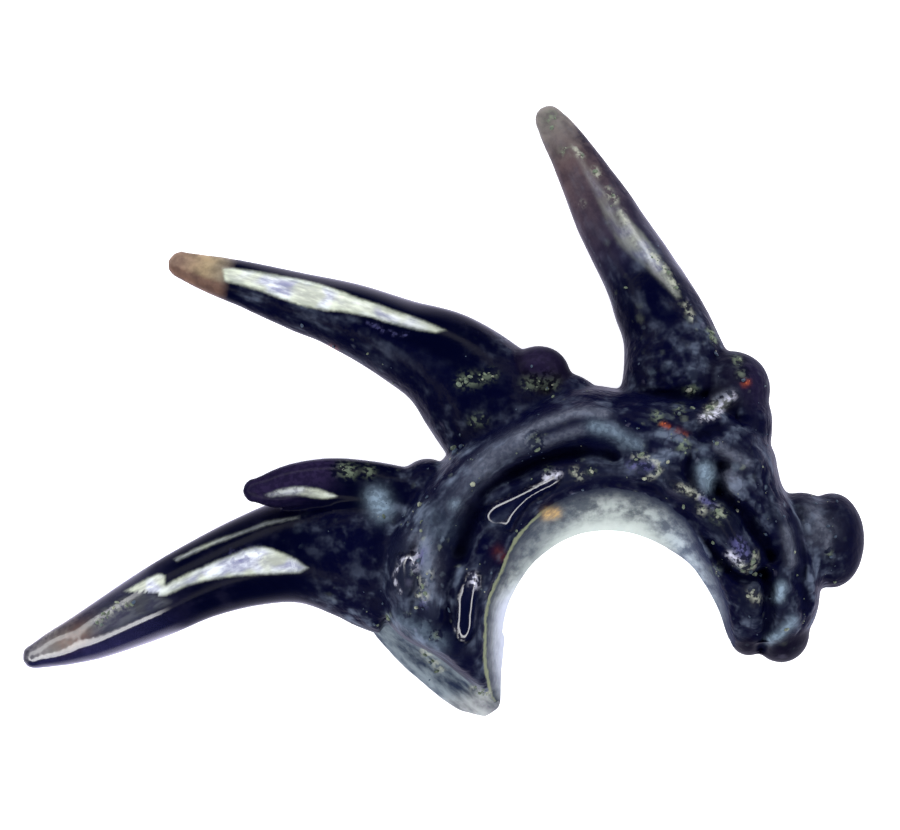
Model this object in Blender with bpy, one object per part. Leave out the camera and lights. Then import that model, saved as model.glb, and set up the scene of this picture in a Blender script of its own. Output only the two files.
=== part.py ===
"""Fossil placoderm tooth: an arched root with fangs that fan out from its outer side, lying on its flank.

It grew as one piece of dentine and bone, so it is one solid. Sizes below are in millimetres, measured
from the centre of the arch, with +X to the right knob's side, +Y out of the arch's crown and +Z up from
the surface that the tooth lies on. The finished mesh is scaled to metres.
"""

import math

import bmesh
import bpy
import numpy as np
from mathutils import Matrix, Vector

MM = 0.001

# Driving dimensions
ROOT_DEPTH = 1.78  # the root's width from flank to flank, upright as the tooth lies
FANG_PLANE = 0.86  # height of the fangs' middle line where they leave the root
VOXEL = 0.045  # grain of the mesh in which the lofts are fused
TRIANGLES = 9000

# Stations along each fang, tip first: x, y, height of the middle line, half width, half depth
LEFT_FANG = (
    (-5.47, -0.13, 0.13, 0.12, 0.12),
    (-5.30, -0.065, 0.17, 0.17, 0.16),
    (-5.06, 0.025, 0.22, 0.222, 0.21),
    (-4.83, 0.125, 0.28, 0.27, 0.26),
    (-4.35, 0.365, 0.42, 0.325, 0.32),
    (-3.88, 0.605, 0.56, 0.37, 0.38),
    (-3.40, 0.79, 0.70, 0.435, 0.44),
    (-2.93, 0.90, 0.80, 0.52, 0.51),
    (-2.45, 0.89, 0.86, 0.65, 0.58),
    (-2.02, 0.81, 0.88, 0.74, 0.60),
)
SMALL_CUSP = (
    (-3.35, 1.465, 1.22, 0.115, 0.09),
    (-3.17, 1.475, 1.21, 0.18, 0.15),
    (-2.93, 1.52, 1.18, 0.215, 0.20),
    (-2.64, 1.53, 1.14, 0.245, 0.23),
    (-2.31, 1.49, 1.08, 0.265, 0.27),
    (-1.98, 1.37, 1.02, 0.325, 0.34),
    (-1.60, 1.14, 0.95, 0.40, 0.42),
)
MIDDLE_FANG = (
    (-4.06, 3.61, 0.52, 0.13, 0.12),
    (-3.88, 3.55, 0.54, 0.165, 0.16),
    (-3.69, 3.495, 0.56, 0.195, 0.20),
    (-3.40, 3.41, 0.60, 0.228, 0.24),
    (-2.93, 3.26, 0.66, 0.28, 0.31),
    (-2.45, 3.105, 0.72, 0.335, 0.38),
    (-1.98, 2.895, 0.78, 0.40, 0.45),
    (-1.55, 2.68, 0.84, 0.50, 0.52),
    (-1.18, 2.34, FANG_PLANE, 0.60, 0.58),
    (-0.84, 1.95, FANG_PLANE, 0.62, 0.60),
)
UPPER_FANG = (
    (-0.55, 5.00, 0.14, 0.14, 0.13),
    (-0.48, 4.90, 0.16, 0.175, 0.16),
    (-0.33, 4.66, 0.22, 0.215, 0.20),
    (-0.185, 4.40, 0.30, 0.257, 0.25),
    (-0.045, 4.15, 0.37, 0.30, 0.30),
    (0.08, 3.92, 0.44, 0.322, 0.33),
    (0.30, 3.54, 0.55, 0.358, 0.38),
    (0.44, 3.26, 0.64, 0.40, 0.43),
    (0.59, 2.90, 0.72, 0.45, 0.47),
    (0.68, 2.40, 0.82, 0.57, 0.55),
    (0.66, 1.90, FANG_PLANE, 0.62, 0.60),
)

# Broken stumps and knobs: middle x, y, z, then half sizes along a, across it and upright, and a's turn
BUMPS = {
    "denticle": (-0.66, 2.57, 1.00, 0.30, 0.27, 0.30, 0),
    "denticle foot": (-0.34, 2.30, 1.00, 0.32, 0.26, 0.34, -30),
    "shoulder": (-1.74, 1.56, 1.00, 0.24, 0.20, 0.34, 20),
    "stump": (1.17, 2.42, 0.92, 0.37, 0.375, 0.46, 90),
    "stump foot": (1.28, 2.08, 0.92, 0.42, 0.29, 0.50, 90),
    "side knob neck": (1.84, 0.97, 0.80, 0.42, 0.48, 0.46, 0),
    "side knob head": (2.13, 0.99, 0.74, 0.315, 0.455, 0.46, 0),
    "inner lobe": (1.34, 0.10, 0.80, 0.19, 0.21, 0.42, 0),
    "outer lobe": (1.65, 0.11, 0.76, 0.27, 0.285, 0.44, 0),
    "flange nub": (-1.15, -0.54, 0.14, 0.10, 0.10, 0.12, 0),
}

# The root's cross-sections around the arch: angle from +X, the inner wall's radius on the upper and
# lower flank, the outer wall's on both, and the heights of the lower and upper flank
ROOT = (
    (202, 1.21, 1.10, 1.24, 1.30, 0.02, 1.10),
    (197, 1.19, 1.03, 1.30, 1.37, 0.00, 1.38),
    (190, 1.18, 0.99, 1.43, 1.50, 0.00, 1.56),
    (183, 1.17, 0.96, 1.63, 1.70, 0.00, 1.66),
    (175, 1.17, 0.93, 2.02, 2.12, 0.00, 1.72),
    (160, 1.21, 0.92, 2.26, 2.42, 0.02, ROOT_DEPTH),
    (145, 1.24, 0.91, 2.30, 2.40, 0.04, ROOT_DEPTH),
    (130, 1.34, 0.92, 2.30, 2.40, 0.05, ROOT_DEPTH),
    (112, 1.43, 0.92, 2.34, 2.42, 0.06, ROOT_DEPTH),
    (98, 1.47, 0.92, 2.44, 2.52, 0.06, ROOT_DEPTH),
    (86, 1.48, 0.92, 2.38, 2.46, 0.06, ROOT_DEPTH),
    (72, 1.45, 0.92, 2.42, 2.50, 0.05, ROOT_DEPTH),
    (58, 1.38, 0.94, 2.48, 2.56, 0.04, 1.75),
    (50, 1.31, 0.98, 2.40, 2.46, 0.03, 1.72),
    (42, 1.25, 1.01, 2.20, 2.28, 0.02, 1.68),
    (30, 1.20, 1.03, 2.16, 2.22, 0.01, 1.60),
    (18, 1.18, 1.06, 2.10, 2.14, 0.00, 1.50),
    (8, 1.16, 1.10, 1.98, 2.02, 0.00, 1.38),
    (1, 1.19, 1.14, 1.84, 1.86, 0.06, 1.22),
)
# The thin flange along the left leg's lower flank, in the same terms
FLANGE = (
    (211, 1.20, 1.19, 1.33, 1.38, 0.05, 0.24),
    (208, 1.16, 1.14, 1.42, 1.46, 0.01, 0.32),
    (204, 1.12, 1.10, 1.53, 1.57, 0.00, 0.38),
    (197, 1.07, 1.05, 1.67, 1.71, 0.00, 0.42),
    (190, 1.03, 1.01, 1.84, 1.88, 0.00, 0.44),
    (183, 1.00, 0.98, 2.04, 2.08, 0.00, 0.46),
    (175, 1.00, 0.99, 2.26, 2.31, 0.00, 0.48),
    (165, 1.20, 1.20, 2.30, 2.36, 0.03, 0.46),
)
CORNER = 0.62  # roundness of these cross-sections: 1 is an ellipse, and less is squarer


def empty_scene():
    for obj in list(bpy.data.objects):
        bpy.data.objects.remove(obj, do_unlink=True)


def smooth_rows(rows, per_span):
    """Rows of numbers on a smooth curve through the given rows (a Catmull-Rom spline)."""
    rows = np.array(rows, float)
    rows = np.vstack([2 * rows[0] - rows[1], rows, 2 * rows[-1] - rows[-2]])
    t = np.arange(per_span)[:, None] / per_span
    found = []
    for a, b, c, d in zip(rows, rows[1:], rows[2:], rows[3:]):
        found.append(
            0.5 * (2 * b + (c - a) * t + (2 * a - 5 * b + 4 * c - d) * t**2
                   + (3 * b - 3 * c + d - a) * t**3)
        )
    return np.vstack([*found, rows[-2]])


def skin(bm, rings):
    """A closed skin over a row of rings of points, with a fan of faces on each end."""
    loops = [[bm.verts.new(point) for point in ring] for ring in rings]
    for ring, following in zip(loops, loops[1:]):
        for i, vert in enumerate(ring):
            j = (i + 1) % len(ring)
            bm.faces.new((vert, ring[j], following[j], following[i]))
    for ring in (loops[0], loops[-1]):
        hub = bm.verts.new(sum((v.co for v in ring), Vector()) / len(ring))
        for i, vert in enumerate(ring):
            bm.faces.new((vert, ring[(i + 1) % len(ring)], hub))


def add_fang(bm, stations, per_span=6, sides=28):
    """A fang of oval cross-sections, square to its middle line, with a rounded point."""
    rows = smooth_rows(stations, per_span)
    middle, half_width, half_depth = rows[:, :3], rows[:, 3], rows[:, 4]
    along = np.gradient(middle, axis=0)
    along /= np.linalg.norm(along, axis=1)[:, None]
    across = np.cross(along, (0, 0, 1))
    across /= np.linalg.norm(across, axis=1)[:, None]
    upright = np.cross(across, along)
    turn = np.linspace(0, 2 * math.pi, sides, endpoint=False)[None, :, None]
    rings = (
        middle[:, None]
        + across[:, None] * half_width[:, None, None] * np.cos(turn)
        + upright[:, None] * half_depth[:, None, None] * np.sin(turn)
    )
    skin(bm, rings)
    add_ball(bm, Matrix.Translation(middle[0]) @ Matrix.Diagonal((*[half_width[0] * 1.02] * 3, 1)))


def add_ball(bm, place):
    bmesh.ops.create_uvsphere(bm, u_segments=24, v_segments=14, radius=1, matrix=place)


def add_bump(bm, x, y, z, along, across, upright, turn):
    """A rounded knob, longer or flatter in one direction."""
    place = Matrix.Translation((x, y, z)) @ Matrix.Rotation(math.radians(turn), 4, "Z")
    add_ball(bm, place @ Matrix.Diagonal((along, across, upright, 1)))


def add_band(bm, sections, per_span=6, sides=48):
    """A band bent round the arch, whose inner wall leans in towards the lower flank."""
    turn = np.linspace(0, 2 * math.pi, sides, endpoint=False)
    outward = np.sign(np.cos(turn)) * np.abs(np.cos(turn)) ** CORNER
    upward = np.sign(np.sin(turn)) * np.abs(np.sin(turn)) ** CORNER
    rings = []
    for angle, in_up, in_low, out_up, out_low, low, up in smooth_rows(sections, per_span):
        height = (upward + 1) / 2
        inner = in_low + (in_up - in_low) * height
        outer = out_low + (out_up - out_low) * height
        radius = (inner + outer) / 2 + (outer - inner) / 2 * outward
        a = math.radians(angle)
        rings.append(
            np.column_stack([radius * math.cos(a), radius * math.sin(a), low + (up - low) * height])
        )
    skin(bm, rings)


def fused(bm):
    """One closed mesh of all the overlapping skins, its joints softened, in few triangles."""
    bmesh.ops.recalc_face_normals(bm, faces=bm.faces)
    mesh = bpy.data.meshes.new("lofts")
    bm.to_mesh(mesh)
    obj = bpy.data.objects.new("lofts", mesh)
    bpy.context.scene.collection.objects.link(obj)
    remesh = obj.modifiers.new("fuse", "REMESH")
    remesh.mode = "VOXEL"
    remesh.voxel_size = VOXEL
    soften = obj.modifiers.new("soften", "SMOOTH")
    soften.factor, soften.iterations = 0.5, 6
    whole = evaluated_mesh(obj)
    thin = obj.modifiers.new("thin", "DECIMATE")
    thin.ratio = TRIANGLES / (2 * len(whole.polygons))
    result = evaluated_mesh(obj)
    bpy.data.objects.remove(obj, do_unlink=True)
    return result


def evaluated_mesh(obj):
    graph = bpy.context.evaluated_depsgraph_get()
    return bpy.data.meshes.new_from_object(obj.evaluated_get(graph))


def put_on_ground(mesh):
    """In metres, with the origin under the middle of the bounding box."""
    points = np.empty(len(mesh.vertices) * 3, np.float32)
    mesh.vertices.foreach_get("co", points)
    points = points.reshape(-1, 3)
    low, high = points.min(axis=0), points.max(axis=0)
    foot = ((low[0] + high[0]) / 2, (low[1] + high[1]) / 2, low[2])
    mesh.transform(Matrix.Scale(MM, 4) @ Matrix.Translation(-Vector(map(float, foot))))


def enamel():
    material = bpy.data.materials.new("black enamel")
    material.use_nodes = True
    shader = material.node_tree.nodes["Principled BSDF"]
    shader.inputs["Base Color"].default_value = (0.012, 0.012, 0.018, 1)
    shader.inputs["Roughness"].default_value = 0.2
    shader.inputs["Metallic"].default_value = 0.0
    return material


def make_tooth():
    bm = bmesh.new()
    add_band(bm, ROOT)
    add_band(bm, FLANGE)
    for stations in (LEFT_FANG, SMALL_CUSP, MIDDLE_FANG, UPPER_FANG):
        add_fang(bm, stations)
    for bump in BUMPS.values():
        add_bump(bm, *bump)
    mesh = fused(bm)
    bm.free()
    put_on_ground(mesh)
    mesh.name = "tooth"
    mesh.materials.append(enamel())
    mesh.shade_smooth()
    bpy.context.scene.collection.objects.link(bpy.data.objects.new("tooth", mesh))


empty_scene()
make_tooth()
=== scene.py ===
"""A fossil placoderm tooth: an arched root with three long fangs, a small cusp and worn stumps.

The tooth lies on its flank on a pale table and is seen from straight above. Its shapes are worked
out in millimetres, from the centre of the root's arch, and the finished meshes are moved to the frame.
"""

import math

import bmesh
import bpy
import numpy as np
from mathutils import Matrix, Vector


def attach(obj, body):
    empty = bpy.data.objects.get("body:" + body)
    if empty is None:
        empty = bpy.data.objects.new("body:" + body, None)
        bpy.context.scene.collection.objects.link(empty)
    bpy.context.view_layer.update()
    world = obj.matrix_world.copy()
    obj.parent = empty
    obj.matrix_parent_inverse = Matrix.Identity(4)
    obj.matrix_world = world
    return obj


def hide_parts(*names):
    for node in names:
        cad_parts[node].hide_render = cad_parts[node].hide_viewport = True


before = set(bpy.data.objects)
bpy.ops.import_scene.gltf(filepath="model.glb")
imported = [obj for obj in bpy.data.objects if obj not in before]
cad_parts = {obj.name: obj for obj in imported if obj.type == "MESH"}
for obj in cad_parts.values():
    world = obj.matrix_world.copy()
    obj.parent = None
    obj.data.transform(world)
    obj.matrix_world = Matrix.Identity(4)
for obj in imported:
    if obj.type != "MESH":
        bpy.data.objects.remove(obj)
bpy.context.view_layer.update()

# ----------------------------------------
# The fangs. Each is a curved cone of dentine in a thin skin of enameloid, oval in section and
# worn round at the point. They grew out of the root's outer side and lean down to the table,
# and the small cusp stands on the shoulder of the left one.
FANG_PLANE = 86  # height, in hundredths of a millimetre, of their middle line where they leave the root

# Stations from the point to the root, in hundredths of a millimetre: x, y, height of the middle line,
# half width and half depth
LEFT_FANG = (
    (-547, -13, 13, 12, 12), (-530, -6.5, 17, 17, 16), (-506, 2.5, 22, 22.2, 21),
    (-483, 12.5, 28.5, 26.4, 25.5), (-435, 36.5, 42, 33.3, 32.8), (-388, 60.5, 56, 37, 38),
    (-340, 79, 70, 43.5, 44), (-293, 90, 80, 52, 51), (-245, 89, 86, 65, 58), (-202, 81, 88, 74, 60),
)
SMALL_CUSP = (
    (-335, 146.5, 122, 11.5, 9), (-317, 147.5, 121, 18, 15), (-293, 152, 118, 21.5, 20),
    (-264, 153, 114, 24.5, 23), (-231, 149, 108, 26.5, 27), (-198, 137, 102, 32.5, 34),
    (-160, 114, 95, 40, 42),
)
MIDDLE_FANG = (
    (-406, 361, 52, 13, 12), (-388, 355, 54, 16.5, 16), (-369, 349.5, 56, 19.5, 20),
    (-340, 341, 60, 22.8, 24), (-293, 326, 66, 28, 31), (-245, 310.5, 72, 33.5, 38),
    (-198, 289.5, 78, 40, 45), (-155, 268, 84, 50, 52), (-118, 234, FANG_PLANE, 60, 58),
    (-84, 195, FANG_PLANE, 62, 60),
)
UPPER_FANG = (
    (-55, 500, 14, 14, 13), (-48, 490, 16, 17.5, 16), (-33, 466, 22, 21.5, 20), (-18.5, 440, 30, 25.7, 25),
    (-4.5, 415, 37, 30, 30), (8, 392, 44, 32.2, 33), (30, 354, 55, 35.8, 38), (44, 326, 64, 40, 43),
    (59, 290, 72, 45, 47), (68, 240, 82, 57, 55), (66, 190, FANG_PLANE, 62, 60),
)


def smooth_rows(rows, per_span):
    """Rows of numbers on a smooth curve through the given rows (a Catmull-Rom spline)."""
    rows = np.array(rows, float)
    rows = np.vstack([2 * rows[0] - rows[1], rows, 2 * rows[-1] - rows[-2]])
    t = np.arange(per_span)[:, None] / per_span
    found = []
    for a, b, c, d in zip(rows, rows[1:], rows[2:], rows[3:]):
        found.append(
            0.5 * (2 * b + (c - a) * t + (2 * a - 5 * b + 4 * c - d) * t**2
                   + (3 * b - 3 * c + d - a) * t**3)
        )
    return np.vstack([*found, rows[-2]])


def skin(bm, rings):
    """A closed skin over a row of rings of points, with a fan of faces on each end."""
    loops = [[bm.verts.new(point) for point in ring] for ring in rings]
    for ring, following in zip(loops, loops[1:]):
        for i, vert in enumerate(ring):
            j = (i + 1) % len(ring)
            bm.faces.new((vert, ring[j], following[j], following[i]))
    for ring in (loops[0], loops[-1]):
        hub = bm.verts.new(sum((v.co for v in ring), Vector()) / len(ring))
        for i, vert in enumerate(ring):
            bm.faces.new((vert, ring[(i + 1) % len(ring)], hub))


def add_ball(bm, place, sides=48, bands=24):
    """A ball of radius 1 under a matrix that stretches, turns and places it."""
    rings = []
    for band in range(1, bands):
        polar = math.pi * band / bands
        rings.append(
            [place @ Vector((math.sin(polar) * math.cos(a), math.sin(polar) * math.sin(a), math.cos(polar)))
             for a in np.linspace(0, 2 * math.pi, sides, endpoint=False)]
        )
    skin(bm, rings)


class Fang:
    """The middle line of a fang, and the two directions of its oval sections at each point of it."""

    ROUND_POINT = 1.02  # radius of the ball that rounds the point, in half widths of the first section
    REACH, FADE = 1.45, 0.25  # how far out a place still counts as on the fang, and how softly that ends

    def __init__(self, stations, per_span=12):
        rows = smooth_rows(np.array(stations) / 100, per_span)
        self.middle, self.half_width, self.half_depth = rows[:, :3], rows[:, 3], rows[:, 4]
        along = np.gradient(self.middle, axis=0)
        along /= np.linalg.norm(along, axis=1)[:, None]
        across = np.cross(along, (0, 0, 1))
        self.along = along
        self.across = across / np.linalg.norm(across, axis=1)[:, None]
        self.upright = np.cross(self.across, along)
        steps = np.linalg.norm(np.diff(self.middle, axis=0), axis=1)
        self.from_tip = np.concatenate([[0], np.cumsum(steps)])

    def add_to(self, bm, sides=64):
        turn = np.linspace(0, 2 * math.pi, sides, endpoint=False)[None, :, None]
        rings = (
            self.middle[:, None]
            + self.across[:, None] * self.half_width[:, None, None] * np.cos(turn)
            + self.upright[:, None] * self.half_depth[:, None, None] * np.sin(turn)
        )
        skin(bm, rings)
        ball = [self.half_width[0] * self.ROUND_POINT] * 3
        add_ball(bm, Matrix.Translation(self.middle[0]) @ Matrix.Diagonal((*ball, 1)))

    def locate(self, points):
        """For each point: how far it is from the tip, how far to the upper or right-hand side of the
        fang (-1 to 1), how far up (-1 to 1) and how surely it lies on this fang (0 to 1)."""
        near = np.argmin((self.middle**2).sum(axis=1) - 2 * points @ self.middle.T, axis=1)
        offset = points - self.middle[near]
        from_tip = self.from_tip[near] + (offset * self.along[near]).sum(axis=1)
        side = -(offset * self.across[near]).sum(axis=1) / self.half_width[near]
        height = (offset * self.upright[near]).sum(axis=1) / self.half_depth[near]
        inside = np.clip((self.REACH - np.hypot(side, height)) / self.FADE, 0, 1)
        return from_tip, side, height, inside


FANGS = {
    "left": Fang(LEFT_FANG),
    "cusp": Fang(SMALL_CUSP),
    "middle": Fang(MIDDLE_FANG),
    "upper": Fang(UPPER_FANG),
}
tooth_lofts = bmesh.new()
for fang in FANGS.values():
    fang.add_to(tooth_lofts)

# ----------------------------------------
# The denticle, the broken stump and the side knob. They are fangs that wore or snapped down to
# lumps, rounded by wear, and the two lobes end the right leg. All are one growth with the root.

# Middle x, y and z, half sizes along the lump, across it and upright, and the lump's turn in degrees
LUMPS = {
    "denticle": (-0.66, 2.57, 1.00, 0.30, 0.27, 0.30, 0),
    "denticle foot": (-0.34, 2.30, 1.00, 0.32, 0.26, 0.34, -30),
    "shoulder": (-1.74, 1.56, 1.00, 0.24, 0.20, 0.34, 20),
    "stump": (1.17, 2.42, 0.92, 0.37, 0.375, 0.46, 90),
    "stump foot": (1.28, 2.08, 0.92, 0.42, 0.29, 0.50, 90),
    "side knob neck": (1.84, 0.97, 0.80, 0.42, 0.48, 0.46, 0),
    "side knob head": (2.13, 0.99, 0.74, 0.315, 0.455, 0.46, 0),
    "inner lobe": (1.34, 0.10, 0.80, 0.19, 0.21, 0.42, 0),
    "outer lobe": (1.65, 0.11, 0.76, 0.27, 0.285, 0.44, 0),
    "flange nub": (-1.15, -0.54, 0.14, 0.10, 0.10, 0.12, 0),
}


def add_lump(bm, x, y, z, along, across, upright, turn):
    place = Matrix.Translation((x, y, z)) @ Matrix.Rotation(math.radians(turn), 4, "Z")
    add_ball(bm, place @ Matrix.Diagonal((along, across, upright, 1)))


for lump in LUMPS.values():
    add_lump(tooth_lofts, *lump)

# ----------------------------------------
# The root. It is a thick band of bone bent round an arch, open at the bottom, that sat astride
# the jaw's edge. Its inner wall leans in towards the lower flank, and a thin flange runs along
# the left leg's lower flank.
ROOT_DEPTH = 178  # from flank to flank, upright as the tooth lies, in hundredths of a millimetre
CORNER = 0.62  # roundness of the cross-sections: 1 is an ellipse, and less is squarer
RIM_CORNER = 0.34  # the same where the upper flank meets the inner wall, which is a crisp rim
RIM_SPREAD = 3  # how fast the crisp rim takes over from the rounder corners

# Cross-sections round the arch: angle from +X in degrees, and then in hundredths of a millimetre the
# inner wall's radius on the upper and lower flank, the outer wall's on both, and the heights of the
# lower and upper flank
ROOT = (
    (202, 121, 110, 124, 130, 2, 110), (197, 119, 103, 130, 137, 0, 138), (190, 118, 99, 143, 150, 0, 156),
    (183, 117, 96, 163, 170, 0, 166), (175, 117, 93, 202, 212, 0, 172),
    (160, 121, 92, 226, 242, 2, ROOT_DEPTH), (145, 124, 91, 230, 240, 4, ROOT_DEPTH),
    (130, 134, 92, 230, 240, 5, ROOT_DEPTH), (112, 143, 92, 234, 242, 6, ROOT_DEPTH),
    (98, 147, 92, 244, 252, 6, ROOT_DEPTH), (86, 148, 92, 238, 246, 6, ROOT_DEPTH),
    (72, 145, 92, 242, 250, 5, ROOT_DEPTH), (58, 138, 94, 248, 256, 4, 175),
    (50, 131, 98, 240, 246, 3, 172), (42, 125, 101, 220, 228, 2, 168), (30, 120, 103, 216, 222, 1, 160),
    (18, 118, 106, 210, 214, 0, 150), (8, 116, 110, 198, 202, 0, 138), (1, 119, 114, 184, 186, 6, 122),
)
FLANGE = (
    (211, 120, 119, 133, 138, 5, 24), (208, 116, 114, 142, 146, 1, 32), (204, 112, 110, 153, 157, 0, 38),
    (197, 107, 105, 167, 171, 0, 42), (190, 103, 101, 184, 188, 0, 44), (183, 100, 98, 204, 208, 0, 46),
    (175, 100, 99, 226, 231, 0, 48), (165, 120, 120, 230, 236, 3, 46),
)


def sections_of(table):
    """Cross-sections in degrees and millimetres."""
    return np.array(table) / (1, 100, 100, 100, 100, 100, 100)


def add_band(bm, table, per_span=12, sides=120):
    turn = np.linspace(0, 2 * math.pi, sides, endpoint=False)
    rim = np.clip(np.minimum(-np.cos(turn), np.sin(turn)) * RIM_SPREAD, 0, 1)
    corner = CORNER + (RIM_CORNER - CORNER) * rim
    outward = np.sign(np.cos(turn)) * np.abs(np.cos(turn)) ** corner
    upward = np.sign(np.sin(turn)) * np.abs(np.sin(turn)) ** corner
    rings = []
    for angle, in_up, in_low, out_up, out_low, low, up in smooth_rows(sections_of(table), per_span):
        height = (upward + 1) / 2
        inner = in_low + (in_up - in_low) * height
        outer = out_low + (out_up - out_low) * height
        radius = (inner + outer) / 2 + (outer - inner) / 2 * outward
        a = math.radians(angle)
        rings.append(
            np.column_stack([radius * math.cos(a), radius * math.sin(a), low + (up - low) * height])
        )
    skin(bm, rings)


add_band(tooth_lofts, ROOT)
add_band(tooth_lofts, FLANGE)

# ----------------------------------------
# The whole tooth. Fangs, lumps and root grew as one body, so the lofts are fused into one skin
# and their joints softened. The upper flank's folds, grooves, beads and hollows are then pushed
# into the skin, and the bone's grain roughens it everywhere but on the glossy enameloid.
scene = bpy.context.scene
MM = 0.001  # the frame is in metres
VOXEL = 0.029  # grain of the fused skin
SOFTENING = 8  # rounds of smoothing over the joints
FULL_RELIEF = 0.12  # a fold this high, or a groove this deep, is as light or as dark as any
PEBBLE = 0.125  # width of the bone's packed grains

# In the next five tables every length is in hundredths of a millimetre, and each run or outline is a
# row of x, y, x, y and so on, seen from above.

# Folds of the upper flank: height, half width, gloss, and the points that each runs through
FOLDS = (
    ("arch ridge, left", 11, 10, 0, (-144, 126, -135, 150, -123, 166, -110, 179, -97, 186, -84, 194)),
    ("arch ridge, outer", 8, 6, 0, (-91, 192, -72, 205, -53, 213, -34, 219, -17, 222, 0, 219)),
    ("arch ridge, inner", 6, 6.5, 0, (-76, 189, -60, 193, -44, 199, -27, 204, -8, 205, 13, 199, 30, 187)),
    ("arch groove", -11, 6.5, 0, (-122, 145, -105, 159, -85, 169, -65, 178, -46, 184, -25, 187, -6, 184,
        6, 179)),
    ("arch groove, middle", -10, 8.5, 0, (-92, 166, -65, 176, -46, 182, -28, 184)),
    ("rim groove", -4, 5, 0.2, (-64, 130, -42, 144, -19, 152, 3, 155, 32, 155, 55, 143, 77, 122, 95, 98,
        112, 76)),
    ("arch lip", 5, 13, 0.3, (-105, 119, -91, 131, -74, 142, -57, 150, -40, 157, -21, 161, -2, 161,
        17, 162)),
    ("lip above the right leg", 6, 9, 0.3, (17, 166, 34, 168, 49, 162, 65, 153)),
    ("tongue", 11, 10, 0.9, (61, 151, 78, 143, 93, 134, 106, 119, 119, 98, 128, 83)),
    ("groove outside the tongue", -17, 6.2, 0, (98, 152, 112, 138, 126, 125, 136, 110, 146, 98, 153, 86)),
    ("groove below the tongue", -11, 5, 0, (146, 71, 134, 65, 120, 68, 107, 81, 95, 98)),
    ("left hollow", -19, 10, 0.3, (-130, 129, -135, 115, -138, 100, -142, 88)),
    ("left leg ridge", 3, 11, 0.2, (-126, 72, -132, 45, -134, 20, -136, -5)),
    ("left leg groove", -5, 7, 0.3, (-153, 75, -155, 52, -153, 24)),
    ("left lobe", 5, 20, 0.2, (-192, 79, -195, 58)),
    ("left fold", 8, 8, 0.3, (-169, 126, -168, 100, -173, 75, -171, 52, -166, 31)),
    ("left crease", -7, 5, 0.5, (-182, 92, -180, 69, -185, 43)),
    ("left hem", 5, 6, 0, (-205, 28, -186, 17, -165, 5, -148, -10)),
    ("right knob, inner", 10, 12, 0.8, (137, 52, 138, 37)),
    ("right knob, outer", 10, 10, 0.5, (163, 59, 161, 41)),
    ("right knob, lower", 7, 9, 0.5, (152, 5, 163, 12, 173, 26)),
    ("right ridge", 11, 6, 0.4, (160, 130, 167, 113, 172, 94, 173, 77)),
    ("right ridge, lower", 5, 5, 0.3, (177, 54, 180, 37, 176, 20)),
    ("right groove, outer", -12, 6, 0, (174, 126, 180, 104, 182, 81, 181, 58, 185, 37)),
    ("right cleft", -14, 5.5, 0, (148, 69, 152, 47, 150, 22, 146, -5)),
    ("slanted ridge", 9, 8.5, 0.5, (84, 214, 98, 219, 109, 229, 120, 239)),
    ("slanted groove", -8, 7, 0, (87, 200, 103, 204, 120, 212)),
    ("bead", 7, 11, 0.6, (89, 166, 89, 153)),
    ("bead rim, left", -8, 5, 0, (77, 180, 74, 164, 80, 149)),
    ("bead rim, right", -10, 6, 0, (104, 174, 104, 155, 99, 142)),
    ("small bead", 5, 10, 0, (113, 161, 115, 153)),
    ("right shelf", 6, 6, 0, (103, 191, 116, 181, 129, 173, 143, 175)),
    ("line under the upper fang", -9, 5, 0, (10, 231, 36, 235, 65, 235, 91, 237)),
    ("pit", -8, 6, 0, (108, 170)),
)

# Glossy bosses of the upper flank: height, half width of the sloping edge, the outline of each, and
# the run of it that is still polished
BOSSES = {
    "left leg": (
        3.7, 4.5,
        (-128, 70, -123, 65, -124, 50, -125.5, 34, -127, 20, -130, 10, -135, 5, -141, 8, -145, 19,
            -144, 30, -143, 43, -138, 56, -134, 66),
        (-127, 68, -134, 35, -136, 5),
    ),
    "left lobe": (
        2, 4.5,
        (-184, 85, -199, 85, -204, 80, -207, 73, -208, 63, -206, 51, -198, 44, -182, 46, -177, 58,
            -176, 74),
        (-190, 88, -184, 88),
    ),
    "lip": (
        4.2, 4.8,
        (-124, 125, -109, 133, -90, 141, -71, 150, -54, 159, -47, 159, -52, 151, -63, 146, -75, 138,
            -83, 128, -89, 118, -92, 110, -102, 111, -116, 117),
        (-121, 127, -86, 143, -51, 159, -66, 144, -83, 128, -90, 114),
    ),
}

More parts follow.
